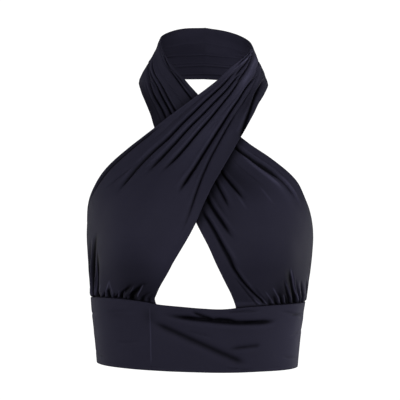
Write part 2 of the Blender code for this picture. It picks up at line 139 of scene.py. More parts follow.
# ---------------------------------------------------------------- tables
# Worn form: ellipse-like rings round the body.
FIGURE = (
    # height, middle_x, middle_y, half_width, front, back, power
    (40.0, 2.6, -60.0, 52.0, 50.0, 55.0, 2.00),
    (12.0, 2.4, -60.0, 59.8, 55.0, 59.5, 2.00),
    (-17.0, 2.4, -60.0, 72.5, 58.0, 65.0, 2.00),
    (-30.0, 1.8, -61.0, 79.7, 58.7, 68.5, 2.00),
    (-40.0, 1.7, -62.0, 84.0, 59.0, 71.0, 2.00),
    (-48.0, 1.8, -62.5, 86.0, 59.0, 73.0, 2.00),
    (-56.0, 1.8, -63.3, 89.0, 59.0, 74.5, 2.00),
    (-75.0, 1.4, -66.0, 99.4, 59.0, 78.0, 2.05),
    (-110.0, 1.0, -73.0, 120.0, 64.0, 82.0, 2.10),
    (-150.0, 0.7, -82.0, 139.0, 72.0, 87.0, 2.20),
    (-190.0, 0.6, -90.0, 144.6, 80.0, 91.0, 2.30),
    (-240.0, 0.9, -92.0, 145.2, 86.0, 92.5, 2.30),
    (-262.0, 1.2, -92.0, 144.9, 87.0, 92.5, 2.30),
    (-282.0, 1.1, -92.0, 143.9, 88.0, 92.5, 2.30),
    (-327.0, 0.2, -92.0, 140.0, 90.0, 92.0, 2.30),
    (-345.0, -0.1, -92.0, 137.9, 89.4, 91.0, 2.30),
    (-370.0, 0.2, -92.0, 134.9, 88.0, 89.5, 2.30),
    (-395.0, 0.5, -92.0, 132.4, 87.0, 87.7, 2.30),
    (-418.0, 0.8, -92.0, 130.5, 86.0, 86.0, 2.30),
)
# The two cups, as one soft swelling either side of the middle.
CUP_TURN = 36.0       # degrees from straight ahead
CUP_SPREAD = 20.0     # degrees
CUP_HEIGHT = -250.0
CUP_ABOVE = 128.0     # how far up the swelling reaches
CUP_BELOW = 77.0      # how far down
CUP_DEPTH = 42.0
CUP_POWER_ABOVE = 2.0     # how steeply it ends upwards
CUP_POWER_BELOW = 1.15

# Panel edges: rows run from the band seam (0) to the nape (15).  A row gives
# either x as seen from the front or the turn round the body in degrees.
OVER_INNER = (
    # row, by, place, height
    (0.0, "x", -52.6, -330.5),
    (0.2, "x", -54.2, -325.5),
    (0.5, "x", -51.6, -317.0),
    (1.0, "x", -42.8, -299.5),
    (2.0, "x", -30.6, -276.5),
    (3.0, "x", -17.3, -251.3),
    (4.0, "x", -4.4, -227.3),
    (5.0, "x", 6.5, -203.0),
    (6.0, "x", 18.0, -179.0),
    (7.0, "x", 30.0, -156.0),
    (8.0, "x", 42.0, -134.0),
    (9.0, "x", 54.0, -112.0),
    (10.0, "x", 65.5, -90.0),
    (11.0, "x", 77.6, -67.5),
    (12.0, "turn", 85.5, -47.5),
    (13.0, "turn", 120.0, -40.0),
    (14.0, "turn", 150.0, -36.5),
    (15.0, "turn", NAPE_TURN, -34.8),
)
OVER_OUTER = (
    (0.0, "turn", -109.0, -330.0),
    (1.0, "turn", -104.0, -292.0),
    (2.0, "turn", -96.0, -256.0),
    (3.0, "turn", -86.0, -225.0),
    (4.0, "x", -139.8, -192.0),
    (5.0, "x", -122.4, -163.0),
    (6.0, "x", -96.2, -138.4),
    (7.0, "x", -66.0, -115.8),
    (8.0, "x", -38.4, -93.2),
    (9.0, "x", -11.4, -71.1),
    (10.0, "x", 16.5, -47.5),
    (11.0, "x", 42.5, -22.5),
    (12.0, "turn", 80.0, 4.0),
    (12.5, "turn", 100.0, 13.0),
    (13.0, "turn", 120.0, 20.5),
    (14.0, "turn", 150.0, 29.5),
    (15.0, "turn", NAPE_TURN, 34.2),
)
UNDER_INNER = (
    (0.0, "x", 48.2, -332.5),
    (0.25, "x", 46.2, -325.5),
    (0.5, "x", 43.4, -319.0),
    (1.0, "x", 35.4, -304.5),
    (2.0, "x", 22.8, -281.0),
    (3.0, "x", 10.0, -255.5),
    (4.0, "x", -4.0, -227.0),
    (5.0, "x", -15.0, -204.0),
    (6.0, "x", -26.0, -180.0),
    (7.0, "x", -37.5, -156.5),
    (8.0, "x", -49.0, -132.5),
    (9.0, "x", -60.6, -109.0),
    (10.0, "x", -69.2, -86.0),
    (11.0, "x", -78.1, -65.0),
    (12.0, "turn", -86.0, -48.0),
    (13.0, "turn", -120.0, -40.0),
    (14.0, "turn", -150.0, -36.5),
    (15.0, "turn", -NAPE_TURN, -34.8),
)
UNDER_OUTER = (
    (0.0, "turn", 109.0, -330.0),
    (1.0, "turn", 104.0, -294.0),
    (2.0, "turn", 96.0, -260.0),
    (3.0, "turn", 82.0, -234.0),
    (4.0, "x", 136.9, -200.8),
    (5.0, "x", 124.8, -174.6),
    (6.0, "x", 100.5, -151.9),
    (7.0, "x", 74.5, -132.9),
    (8.0, "x", 45.1, -111.9),
    (9.0, "x", 14.0, -84.0),
    (10.0, "x", -14.0, -55.0),
    (11.0, "x", -41.0, -25.5),
    (12.0, "turn", -79.0, 9.5),
    (12.5, "turn", -100.0, 18.0),
    (13.0, "turn", -120.0, 24.5),
    (14.0, "turn", -150.0, 32.0),
    (15.0, "turn", -NAPE_TURN, 34.2),
)
# Where one panel lies on the other, in rows, at its inner and outer edge.
CROSS_INNER = (4.0, 9.0)
CROSS_OUTER = (8.0, 9.8)
CROSS_BEFORE = 2.3    # rows ahead of it where a panel starts to lift or sink
CROSS_RISE = 1.8      # rows it takes
CROSS_AFTER = 2.1     # rows beyond it where the panel is back on the figure
CROSS_FALL = 1.6
ROLL_ROWS = (5.6, 12.2)   # where the upper panel's inner margin rolls in
ROLL_FADE = 1.6       # rows
ROLL_REACH = 0.16     # across
LEVEL_ROWS = 1.6      # rows over which a panel levels out from the band seam
PUFF_ROWS = (0.22, 0.2, 1.3)  # rows to swell, row where it fades, rows to fade

# Pleats and gathers: each is a valley that runs along a panel.
# across runs 0 (inner edge) to 1 (outer edge); a pleat's four places across
# are at its first row, a third and two thirds of the way, and its last row.
OVER_FOLDS = (
    # row_from, row_to, across_0, across_1, across_2, across_3, depth, width, rise, fall
    (4.2, 11.0, 0.705, 0.763, 0.795, 0.860, 3.2, 0.036, 0.14, 0.12),
    (5.2, 11.1, 0.602, 0.660, 0.663, 0.750, 3.2, 0.034, 0.15, 0.12),
    (5.4, 11.0, 0.512, 0.516, 0.524, 0.650, 3.3, 0.034, 0.20, 0.10),
    (4.8, 11.6, 0.270, 0.268, 0.327, 0.470, 3.4, 0.036, 0.14, 0.12),
    (2.6, 10.6, 0.045, 0.118, 0.188, 0.285, 2.2, 0.028, 0.35, 0.25),
    (8.4, 11.8, -0.010, 0.042, 0.130, 0.262, 3.8, 0.050, 0.20, 0.26),
    (10.5, 11.95, 0.640, 0.690, 0.815, 1.040, 3.3, 0.036, 0.25, 0.15),
    (10.6, 11.75, 0.760, 0.815, 0.880, 1.010, 2.4, 0.034, 0.25, 0.15),
    (3.4, 7.6, 0.968, 0.967, 0.967, 0.972, 2.3, 0.026, 0.25, 0.20),
    (11.2, 13.8, 0.600, 0.590, 0.560, 0.520, 1.4, 0.036, 0.35, 0.40),
    (12.4, 15.0, 0.240, 0.250, 0.260, 0.260, 0.8, 0.036, 0.40, 0.00),
)
UNDER_FOLDS = (
    (5.3, 7.8, 0.858, 0.847, 0.829, 0.812, 3.6, 0.044, 0.30, 0.10),
    (4.1, 6.6, 0.888, 0.876, 0.858, 0.841, 1.9, 0.050, 0.30, 0.40),
    (4.5, 6.9, 0.455, 0.460, 0.462, 0.470, 3.1, 0.034, 0.40, 0.15),
    (4.2, 6.4, 0.310, 0.325, 0.340, 0.335, 2.4, 0.030, 0.40, 0.15),
    (2.9, 5.6, 0.205, 0.200, 0.187, 0.178, 3.2, 0.034, 0.40, 0.15),
    (0.0, 2.4, 0.245, 0.133, 0.096, 0.093, 3.0, 0.021, 0.07, 0.333),
    (1.6, 4.8, 0.096, 0.101, 0.106, 0.088, 3.0, 0.030, 0.25, 0.25),
    (8.9, 11.9, 0.398, 0.412, 0.483, 0.640, 2.6, 0.032, 0.10, 0.15),
    (8.9, 11.7, 0.304, 0.317, 0.362, 0.510, 3.2, 0.034, 0.10, 0.20),
    (8.9, 12.0, 0.199, 0.209, 0.246, 0.600, 2.6, 0.036, 0.25, 0.12),
    (9.2, 11.7, 0.808, 0.825, 0.880, 1.050, 1.8, 0.034, 0.20, 0.20),
    (11.4, 13.8, 0.420, 0.440, 0.460, 0.480, 1.4, 0.036, 0.35, 0.40),
    (12.4, 15.0, 0.230, 0.240, 0.250, 0.260, 0.8, 0.036, 0.40, 0.00),
)
# Gathers stand up from the band seam and lean by so much across on the way.
OVER_GATHERS = (
    # across, reach in rows, lean, depth, width
    (0.060, 0.45, -0.040, 1.3, 0.018),
    (0.119, 0.55, -0.070, 1.6, 0.020),
    (0.205, 0.84, -0.100, 3.1, 0.026),
    (0.250, 0.45, -0.080, 1.6, 0.014),
    (0.293, 0.72, -0.100, 2.8, 0.020),
    (0.333, 0.45, -0.085, 2.0, 0.015),
    (0.347, 0.28, -0.030, 1.8, 0.012),
    (0.388, 0.44, -0.006, 3.2, 0.019),
    (0.452, 0.35, -0.060, 1.8, 0.016),
    (0.511, 1.90, 0.062, 3.8, 0.029),
    (0.578, 2.60, 0.078, 4.6, 0.030),
    (0.672, 1.60, 0.016, 2.6, 0.014),
    (0.700, 2.30, 0.015, 3.0, 0.024),
    (0.742, 1.50, 0.020, 2.4, 0.018),
    (0.786, 2.10, 0.015, 2.9, 0.020),
    (0.845, 1.90, 0.010, 2.7, 0.020),
    (0.893, 1.20, 0.000, 2.2, 0.018),
    (0.940, 1.50, 0.000, 2.0, 0.018),
    (0.980, 0.80, 0.000, 1.3, 0.016),
)
UNDER_GATHERS = (
    (0.286, 0.35, -0.030, 1.5, 0.016),
    (0.333, 0.45, -0.035, 1.8, 0.016),
    (0.381, 0.55, -0.040, 2.0, 0.016),
    (0.420, 0.45, -0.030, 1.6, 0.016),
    (0.440, 1.05, -0.048, 2.2, 0.016),
    (0.496, 1.55, -0.056, 3.2, 0.027),
    (0.546, 1.05, -0.048, 2.2, 0.014),
    (0.590, 0.95, -0.028, 2.6, 0.014),
    (0.684, 1.00, -0.028, 2.7, 0.018),
    (0.714, 1.00, 0.010, 2.3, 0.018),
    (0.762, 1.60, 0.010, 2.6, 0.018),
    (0.810, 1.15, 0.008, 2.3, 0.018),
    (0.857, 1.50, 0.006, 2.4, 0.018),
    (0.929, 1.20, 0.002, 2.0, 0.018),
    (0.976, 0.65, 0.000, 1.3, 0.016),
)

# Band: top edge and hem by turn round the body.
BAND_TOP = (
    # turn, height
    (-180.0, -353.0), (-150.0, -346.0), (-122.0, -334.0), (-105.0, -330.5),
    (-90.0, -329.5), (-62.0, -326.8), (-42.0, -328.8), (-30.0, -331.8),
    (-12.0, -334.0), (4.0, -335.6), (19.0, -336.1), (28.0, -334.8),
    (45.0, -332.0), (65.0, -330.0), (90.0, -329.5), (105.0, -330.5),
    (122.0, -334.0), (150.0, -346.0), (180.0, -353.0),
)
HEM = (
    (-180.0, -415.0), (-120.0, -413.5), (-90.0, -413.0), (-66.0, -414.1),
    (-44.0, -415.0), (-22.0, -415.6), (0.0, -415.9), (15.0, -416.0),
    (33.0, -415.6), (50.0, -414.6), (66.0, -414.2), (90.0, -413.4),
    (120.0, -413.8), (180.0, -415.0),
)
SEAM_TURN = -35.5     # upright seam left of the middle of the band
SIDE_TURN = 97.0      # side seams, just behind the widest point
BAND_FOLDS = (
    # turn_from, turn_to, height_0, height_1, height_2, height_3, depth, width, rise, fall
    (-30.0, 58.5, -344.4, -348.6, -352.5, -351.0, 3.4, 6.0, 0.30, 0.14),
    (-38.5, 39.5, -351.1, -369.4, -386.7, -405.0, 1.9, 10.5, 0.18, 0.12),
)

# Small folds that only the looks have, in the columns of the main pleats. A
# depth below 0 is a ridge.
OVER_FINE = (
    # row_from, row_to, across_0, across_1, across_2, across_3, depth, width, rise, fall
    (4.2, 5.8, 0.850, 0.825, 0.802, 0.775, 1.2, 0.022, 0.40, 0.40),
    (6.6, 11.0, 0.590, 0.585, 0.590, 0.680, 0.6, 0.022, 0.40, 0.30),
    (7.4, 11.2, 0.420, 0.420, 0.440, 0.530, 0.6, 0.022, 0.40, 0.30),
    (6.0, 10.8, 0.880, 0.890, 0.905, 0.930, 0.9, 0.020, 0.40, 0.30),
    (1.2, 4.4, 0.920, 0.940, 0.960, 0.980, 0.8, 0.018, 0.30, 0.40),
    (10.4, 11.7, 0.900, 0.915, 0.927, 0.940, -0.9, 0.020, 0.30, 0.20),
    (10.9, 11.7, 0.930, 0.958, 0.966, 0.990, 2.0, 0.028, 0.30, 0.20),
    (10.7, 11.75, 0.560, 0.590, 0.650, 0.760, 0.7, 0.016, 0.30, 0.20),
    (10.9, 11.75, 0.450, 0.470, 0.520, 0.620, 1.6, 0.022, 0.30, 0.20),
    (11.2, 12.0, 0.185, 0.235, 0.370, 0.560, 1.6, 0.018, 0.30, 0.20),
    (9.6, 11.6, 0.245, 0.272, 0.316, 0.500, 1.5, 0.020, 0.35, 0.12),
    (12.0, 15.0, 0.120, 0.110, 0.100, 0.095, 1.2, 0.018, 0.30, 0.00),
    (12.8, 15.0, 0.330, 0.320, 0.315, 0.315, 0.7, 0.014, 0.30, 0.00),
    (13.2, 15.0, 0.500, 0.480, 0.470, 0.470, 0.8, 0.016, 0.40, 0.00),
    (12.4, 15.0, 0.640, 0.660, 0.680, 0.700, 0.3, 0.024, 0.30, 0.00),
)
UNDER_FINE = (
    (4.0, 5.4, 0.430, 0.428, 0.432, 0.440, -0.9, 0.012, 0.40, 0.40),
    (4.1, 5.4, 0.640, 0.635, 0.640, 0.660, -0.9, 0.012, 0.40, 0.40),
    (4.7, 7.0, 0.816, 0.796, 0.794, 0.800, -1.8, 0.017, 0.35, 0.20),
    (4.3, 5.9, 0.912, 0.892, 0.884, 0.892, -1.4, 0.013, 0.35, 0.35),
    (3.9, 5.7, 0.905, 0.905, 0.905, 0.900, -1.1, 0.015, 0.35, 0.30),
    (4.5, 7.3, 0.930, 0.928, 0.922, 0.910, 1.1, 0.016, 0.35, 0.20),
    (4.7, 6.9, 0.700, 0.680, 0.670, 0.660, 0.9, 0.022, 0.45, 0.20),
    (3.8, 5.6, 0.260, 0.255, 0.250, 0.250, 1.2, 0.022, 0.45, 0.20),
    (0.0, 1.6, 0.180, 0.120, 0.085, 0.070, 1.4, 0.016, 0.05, 0.50),
    (0.0, 1.0, 0.275, 0.220, 0.180, 0.150, 1.4, 0.016, 0.05, 0.50),
    (9.1, 11.8, 0.120, 0.125, 0.150, 0.300, 0.8, 0.022, 0.15, 0.30),
    (9.3, 11.6, 0.600, 0.610, 0.640, 0.760, 0.6, 0.026, 0.20, 0.30),
    (9.1, 12.5, 0.806, 0.830, 0.900, 1.040, 0.8, 0.024, 0.25, 0.25),
    (9.6, 12.2, 0.905, 0.915, 0.945, 1.010, 1.2, 0.016, 0.30, 0.25),
    (10.6, 12.2, 0.300, 0.350, 0.450, 0.600, 1.4, 0.022, 0.30, 0.25),
    (10.8, 12.3, 0.215, 0.290, 0.450, 0.700, 1.6, 0.024, 0.30, 0.25),
    (10.8, 12.2, 0.470, 0.510, 0.590, 0.720, -0.7, 0.018, 0.30, 0.25),
    (12.2, 15.0, 0.105, 0.095, 0.090, 0.095, 1.2, 0.018, 0.30, 0.00),
    (13.0, 15.0, 0.320, 0.315, 0.310, 0.315, 0.7, 0.014, 0.40, 0.00),
    (12.6, 15.0, 0.485, 0.475, 0.465, 0.470, 0.8, 0.016, 0.30, 0.00),
    (12.6, 15.0, 0.660, 0.670, 0.690, 0.700, 0.3, 0.024, 0.30, 0.00),
)
# Painted highlights and painted shade over broad stretches of a panel: colour only.
OVER_PAINTED_LIGHT_SPOTS = (
    # row, across, row_reach, across_reach, amount
    (10.5, 0.180, 1.0, 0.110, -0.42),
    (8.8, 0.040, 1.0, 0.060, -0.20),
    (10.5, 0.490, 0.6, 0.055, 0.35),
    (11.2, 0.585, 0.6, 0.060, 0.75),
    (11.7, 0.700, 0.4, 0.080, 1.10),
    (10.9, 0.950, 0.5, 0.040, 0.45),
    (11.4, 0.985, 0.4, 0.030, 0.80),
    (8.2, 0.400, 2.0, 0.090, 0.26),
    (8.4, 0.580, 1.8, 0.060, 0.22),
    (7.6, 0.880, 2.4, 0.050, -0.10),
    (2.7, 0.070, 1.6, 0.090, 0.15),
    (1.3, 0.210, 0.8, 0.150, -0.14),
    (0.4, 0.120, 0.5, 0.140, -0.42),
    (0.3, 0.180, 0.4, 0.060, -0.45),
    (8.6, 0.994, 1.2, 0.010, 0.40),
    (5.6, 0.990, 1.6, 0.018, -0.30),
    (13.6, 0.500, 1.2, 0.500, 0.28),
    (11.4, 0.200, 0.5, 0.100, -0.30),
    (1.2, 0.640, 1.1, 0.032, -0.60),
    (0.8, 0.532, 0.9, 0.018, -0.40),
    (7.6, 0.730, 1.6, 0.060, 0.22),
)
UNDER_PAINTED_LIGHT_SPOTS = (
    (5.9, 0.530, 1.0, 0.120, -0.42),
    (5.0, 0.260, 0.8, 0.060, -0.25),
    (4.3, 0.640, 0.9, 0.150, 0.12),
    (4.8, 0.810, 0.8, 0.050, 0.30),
    (3.1, 0.900, 1.6, 0.220, 0.12),
    (5.7, 0.795, 0.8, 0.018, 0.35),
    (5.0, 0.893, 0.8, 0.014, 0.45),
    (10.3, 0.030, 1.4, 0.150, -0.62),
    (10.2, 0.290, 0.9, 0.120, -0.20),
    (9.8, 0.650, 0.9, 0.250, -0.22),
    (10.6, 0.940, 0.7, 0.120, -0.22),
    (9.4, 0.120, 0.7, 0.120, -0.22),
    (0.45, 0.375, 0.5, 0.060, -0.55),
    (0.25, 0.300, 0.3, 0.050, -0.35),
    (0.2, 0.480, 0.3, 0.120, -0.20),
    (0.9, 0.440, 0.4, 0.022, -0.40),
    (1.2, 0.425, 0.3, 0.030, -0.15),
    (10.6, 0.450, 1.0, 0.600, -0.13),
    (13.8, 0.500, 1.2, 0.500, 0.12),
)
# Painted highlights: thin bright crest lines, in the columns of the pleats, colour only. A depth
# below 0 is the highlight won.
OVER_PAINTED_HIGHLIGHTS = (
    # row_from, row_to, across_0, across_1, across_2, across_3, depth, width, rise, fall
    (0.08, 2.10, 0.541, 0.553, 0.584, 0.620, -1.6, 0.0045, 0.10, 0.30),
    (0.08, 0.78, 0.422, 0.408, 0.398, 0.392, -1.9, 0.0040, 0.20, 0.30),
    (0.14, 0.78, 0.340, 0.354, 0.376, 0.393, -1.2, 0.0040, 0.20, 0.20),
    (0.08, 0.62, 0.495, 0.486, 0.478, 0.470, -1.5, 0.0042, 0.20, 0.40),
    (0.16, 0.78, 0.137, 0.132, 0.122, 0.114, -2.2, 0.0042, 0.20, 0.25),
    (0.20, 0.70, 0.203, 0.196, 0.186, 0.178, -0.8, 0.0040, 0.20, 0.30),
    (0.08, 0.42, 0.302, 0.297, 0.291, 0.286, -1.8, 0.0035, 0.30, 0.30),
    (0.08, 0.38, 0.262, 0.256, 0.250, 0.246, -1.6, 0.0035, 0.30, 0.30),
    (0.10, 1.80, 0.652, 0.657, 0.662, 0.667, -1.2, 0.0050, 0.20, 0.40),
    (10.5, 12.0, 0.490, 0.575, 0.700, 0.840, -0.75, 0.0420, 0.30, 0.20),
    (11.0, 11.9, 0.915, 0.927, 0.938, 0.950, -1.60, 0.0180, 0.25, 0.15),
    (11.1, 12.0, 0.270, 0.370, 0.480, 0.610, -0.50, 0.0140, 0.25, 0.20),
)
UNDER_PAINTED_HIGHLIGHTS = (
    (0.05, 1.65, 0.538, 0.495, 0.478, 0.452, -2.8, 0.0042, 0.10, 0.20),
    (0.08, 1.05, 0.470, 0.442, 0.424, 0.402, -1.1, 0.0042, 0.15, 0.25),
    (0.05, 0.82, 0.360, 0.344, 0.322, 0.300, -2.2, 0.0040, 0.15, 0.25),
    (0.05, 0.70, 0.308, 0.284, 0.262, 0.240, -1.6, 0.0040, 0.15, 0.30),
    (0.05, 0.95, 0.576, 0.558, 0.550, 0.548, -1.7, 0.0042, 0.15, 0.30),
    (0.10, 0.95, 0.654, 0.632, 0.612, 0.598, -1.9, 0.0042, 0.15, 0.25),
    (0.60, 1.20, 0.700, 0.688, 0.668, 0.648, -1.6, 0.0050, 0.20, 0.20),
    (0.04, 0.50, 0.262, 0.238, 0.216, 0.198, -2.0, 0.0038, 0.15, 0.30),
    (0.04, 0.50, 0.402, 0.396, 0.390, 0.384, -1.8, 0.0035, 0.20, 0.30),
    (0.04, 0.45, 0.205, 0.183, 0.162, 0.143, -2.0, 0.0038, 0.15, 0.30),
)
# Painted highlights at the band's sides and painted shade beside the upright seam: colour only.
BAND_PAINTED_LIGHT_SPOTS = (
    # turn, height, turn_reach, height_reach, amount
    (-36.0, -346.0, 4.0, 9.0, -0.30),
    (-58.0, -346.0, 6.0, 5.0, -0.12),
    (90.0, -370.0, 27.0, 60.0, 1.04),
    (-88.0, -370.0, 16.0, 60.0, 0.48),
)
# Small upright puckers near the ends of the band's front.
BAND_PUCKERS = (
    # turn, height, turn_reach, height_reach, rise
    (-82.0, -352.0, 1.4, 6.0, 0.5),
    (-77.5, -361.0, 1.0, 5.0, 0.4),
    (-84.0, -376.0, 1.2, 6.0, 0.4),
    (-79.0, -397.0, 1.2, 7.0, 0.5),
    (79.5, -341.0, 1.2, 5.0, 0.5),
    (84.0, -352.0, 1.3, 6.0, 0.5),
    (77.0, -364.0, 1.1, 5.0, 0.4),
    (82.5, -388.0, 1.2, 6.0, 0.4),
)
BAND_FINE = (
    # turn_from, turn_to, height_0, height_1, height_2, height_3, depth, width, rise, fall
    (20.0, 45.0, -410.5, -411.0, -412.0, -413.0, 0.9, 1.8, 0.3, 0.3),
    (-6.0, 14.0, -339.5, -342.8, -346.6, -349.0, 2.3, 3.8, 0.3, 0.3),
    (12.0, 30.0, -348.4, -348.6, -349.2, -350.6, 2.2, 4.0, 0.3, 0.3),
    (22.0, 48.0, -387.0, -384.6, -382.6, -381.2, 1.6, 6.2, 0.4, 0.15),
    (-60.0, -42.0, -383.0, -382.0, -380.5, -379.5, 0.5, 3.4, 0.3, 0.3),
    (-66.0, -42.0, -345.0, -343.0, -342.0, -342.0, 0.4, 3.6, 0.3, 0.3),
    (20.0, 47.0, -341.0, -339.0, -338.2, -337.5, 1.2, 3.0, 0.3, 0.3),
    (-10.0, 14.0, -363.0, -366.0, -369.0, -372.0, 0.6, 4.5, 0.3, 0.3),
    (56.0, 84.0, -338.0, -341.0, -345.5, -352.0, 0.9, 3.4, 0.3, 0.3),
    (62.0, 88.0, -346.0, -344.0, -342.0, -340.0, 0.9, 3.0, 0.3, 0.3),
    (60.0, 86.0, -396.0, -398.5, -401.5, -404.0, 0.8, 3.4, 0.3, 0.3),
    (66.0, 92.0, -372.0, -368.2, -366.2, -366.0, 0.7, 3.6, 0.3, 0.3),
    (-90.0, -66.0, -398.0, -400.0, -402.0, -404.0, 0.8, 3.4, 0.3, 0.3),
    (-94.0, -70.0, -352.0, -350.0, -348.0, -346.0, 0.6, 3.4, 0.3, 0.3),
    (104.0, 148.0, -350.0, -352.0, -356.5, -362.0, 0.9, 4.0, 0.3, 0.3),
    (-150.0, -108.0, -378.0, -376.5, -373.0, -368.0, 0.8, 4.0, 0.3, 0.3),
    (120.0, 165.0, -396.0, -391.5, -389.0, -388.0, 0.7, 4.0, 0.3, 0.3),
)


# ---------------------------------------------------------------- curves
def cubic(table_x, table_y, at):
    """Smooth curve through a short table."""
    order = np.argsort(np.asarray(table_x, float))
    xs = np.asarray(table_x, float)[order]
    ys = np.asarray(table_y, float)[order]
    step = np.diff(xs)
    rate = np.diff(ys) / step
    slope = np.empty(len(xs))
    slope[0] = rate[0]
    slope[-1] = rate[-1]
    slope[1:-1] = (rate[1:] * step[:-1] + rate[:-1] * step[1:]) / (step[1:] + step[:-1])
    at = np.asarray(at, float)
    k = np.clip(np.searchsorted(xs, at) - 1, 0, len(xs) - 2)
    t = (at - xs[k]) / step[k]
    return ((2 * t ** 3 - 3 * t ** 2 + 1) * ys[k]
            + (t ** 3 - 2 * t ** 2 + t) * step[k] * slope[k]
            + (3 * t ** 2 - 2 * t ** 3) * ys[k + 1]
            + (t ** 3 - t ** 2) * step[k] * slope[k + 1])


def ease(x):
    """0 to 1 with soft ends."""
    x = np.clip(x, 0.0, 1.0)
    return x * x * (3.0 - 2.0 * x)


def signed(turn):
    """The same turn, from -180 to 180."""
    return np.mod(turn + 180.0, 360.0) - 180.0


def soft_spots(u, v, table):
    """Amount of each soft round spot of a table at one place."""
    for u_middle, v_middle, u_reach, v_reach, amount in table:
        off = ((u - u_middle) / u_reach) ** 2 + ((v - v_middle) / v_reach) ** 2
        yield amount * np.exp(-off)


# ---------------------------------------------------------------- worn form
RINGS = np.array(FIGURE)


def cup(turn, height):
    """Outward swelling of the two cups."""
    above = height > CUP_HEIGHT
    reach = np.where(above, (height - CUP_HEIGHT) / CUP_ABOVE,
                     (CUP_HEIGHT - height) / CUP_BELOW)
    power = np.where(above, CUP_POWER_ABOVE, CUP_POWER_BELOW)
    tall = np.clip(1.0 - reach ** 2, 0.0, None) ** power
    side = signed(turn)
    wide = (np.exp(-0.5 * ((side - CUP_TURN) / CUP_SPREAD) ** 2)
            + np.exp(-0.5 * ((side + CUP_TURN) / CUP_SPREAD) ** 2))
    return CUP_DEPTH * tall * wide


def figure(turn, height):
    """Point of the worn form at a turn round the body and a height."""
    turn, height = np.broadcast_arrays(np.asarray(turn, float),
                                       np.asarray(height, float))
    ring = [cubic(RINGS[:, 0], RINGS[:, i], height) for i in range(1, 7)]
    middle_x, middle_y, half_width, front, back, power = ring
    s = np.sin(np.radians(turn))
    c = np.cos(np.radians(turn))
    depth = np.where(c > 0.0, front, back)
    radius = ((np.abs(s) / half_width) ** power
              + (np.abs(c) / depth) ** power) ** (-1.0 / power)
    radius = radius + cup(turn, height)
    return np.stack([middle_x + radius * s, middle_y - radius * c, height], -1)


def outward(turn, height):
    """Unit vector that points away from the body."""
    round_body = figure(turn + PROBE_TURN, height) - figure(turn - PROBE_TURN, height)
    up_body = figure(turn, height + PROBE_HEIGHT) - figure(turn, height - PROBE_HEIGHT)
    vector = np.cross(round_body, up_body)
    return vector / np.linalg.norm(vector, axis=-1, keepdims=True)


def turn_at(x, height):
    """Turn at which the front of the form has this x."""
    low = -FRONT_LIMIT
    high = FRONT_LIMIT
    for _ in range(HALVINGS):
        middle = (low + high) / 2.0
        if figure(middle, height)[0] > x:
            high = middle
        else:
            low = middle
    return (low + high) / 2.0


def band_top(turn):
    """Height of the band's top edge."""
    table = np.array(BAND_TOP)
    return cubic(table[:, 0], table[:, 1], signed(turn))


def hem(turn):
    """Height of the hem."""
    table = np.array(HEM)
    return cubic(table[:, 0], table[:, 1], signed(turn))


# ---------------------------------------------------------------- place of a panel
def edge(table, rows):
    """Turn and height of a panel edge at the given rows."""
    turns = [place if by == "turn" else turn_at(place, height)
             for _, by, place, height in table]
    rows_of = [line[0] for line in table]
    heights = [line[3] for line in table]
    return cubic(rows_of, turns, rows), cubic(rows_of, heights, rows)


def panel_map(rows, columns, inner_table, outer_table):
    """Turn and height over a panel, which starts level with the band's top edge."""
    turn_in, height_in = edge(inner_table, rows)
    turn_out, height_out = edge(outer_table, rows)
    turn = turn_in[:, None] + (turn_out - turn_in)[:, None] * columns[None, :]
    height = height_in[:, None] + (height_out - height_in)[:, None] * columns[None, :]
    seam = band_top(turn[0]) + SEAM_GAP
    level = 1.0 - ease(rows / LEVEL_ROWS)
    return turn, height + (seam - height[0])[None, :] * level[:, None]


def crossing(row, across):
    """1 where the panels lie on each other, 0 well away from there."""
    start = CROSS_INNER[0] + (CROSS_OUTER[0] - CROSS_INNER[0]) * across
    end = CROSS_INNER[1] + (CROSS_OUTER[1] - CROSS_INNER[1]) * across
    return (ease((row - start + CROSS_BEFORE) / CROSS_RISE)
            * ease((end + CROSS_AFTER - row) / CROSS_FALL))


def margin_roll(row, across):
    """How far the upper panel's inner margin rolls in at the crossing."""
    fade = ease((row - ROLL_ROWS[0]) / ROLL_FADE) * ease((ROLL_ROWS[1] - row) / ROLL_FADE)
    return -EDGE_ROLL * fade * (1.0 - ease(across / ROLL_REACH))


# ---------------------------------------------------------------- creases
def course(t, places, rise, fall):
    """Middle of a fold at t, 0 to 1 along it, and the share of its depth there."""
    share = ((t >= 0.0) & (t <= 1.0)) * 1.0
    t = np.clip(t, 0.0, 1.0)
    if rise > 0.0:
        share = share * ease(t / rise)
    if fall > 0.0:
        share = share * ease((1.0 - t) / fall)
    stations = np.linspace(0.0, 1.0, len(places))
    return cubic(stations, places, t), share


def crease(off, cut, shape):
    """Relief across a crease of depth 1, off its middle by so many widths."""
    narrow, deep = cut
    before, after, power, roll_place, roll_width, roll_height = shape
    off = off / narrow
    side = np.where(off > 0.0, off * after, -off * before)
    roll = (off - roll_place) / roll_width
    return roll_height * np.exp(-roll ** 2) - deep * np.exp(-side ** power)


def pleats(row, across, table, cut):
    """Relief of a panel's pleats. One whose depth is below 0 is a plain ridge."""
    total = np.zeros(np.broadcast(row, across).shape)
    for row_from, row_to, *places, depth, width, rise, fall in table:
        middle, share = course((row - row_from) / (row_to - row_from), places, rise, fall)
        off = (across - middle) / width
        if depth < 0.0:
            total = total - depth * share * np.exp(-off ** 2)
        else:
            total = total + depth * share * crease(off, cut, PLEAT_SHAPE)
    return total


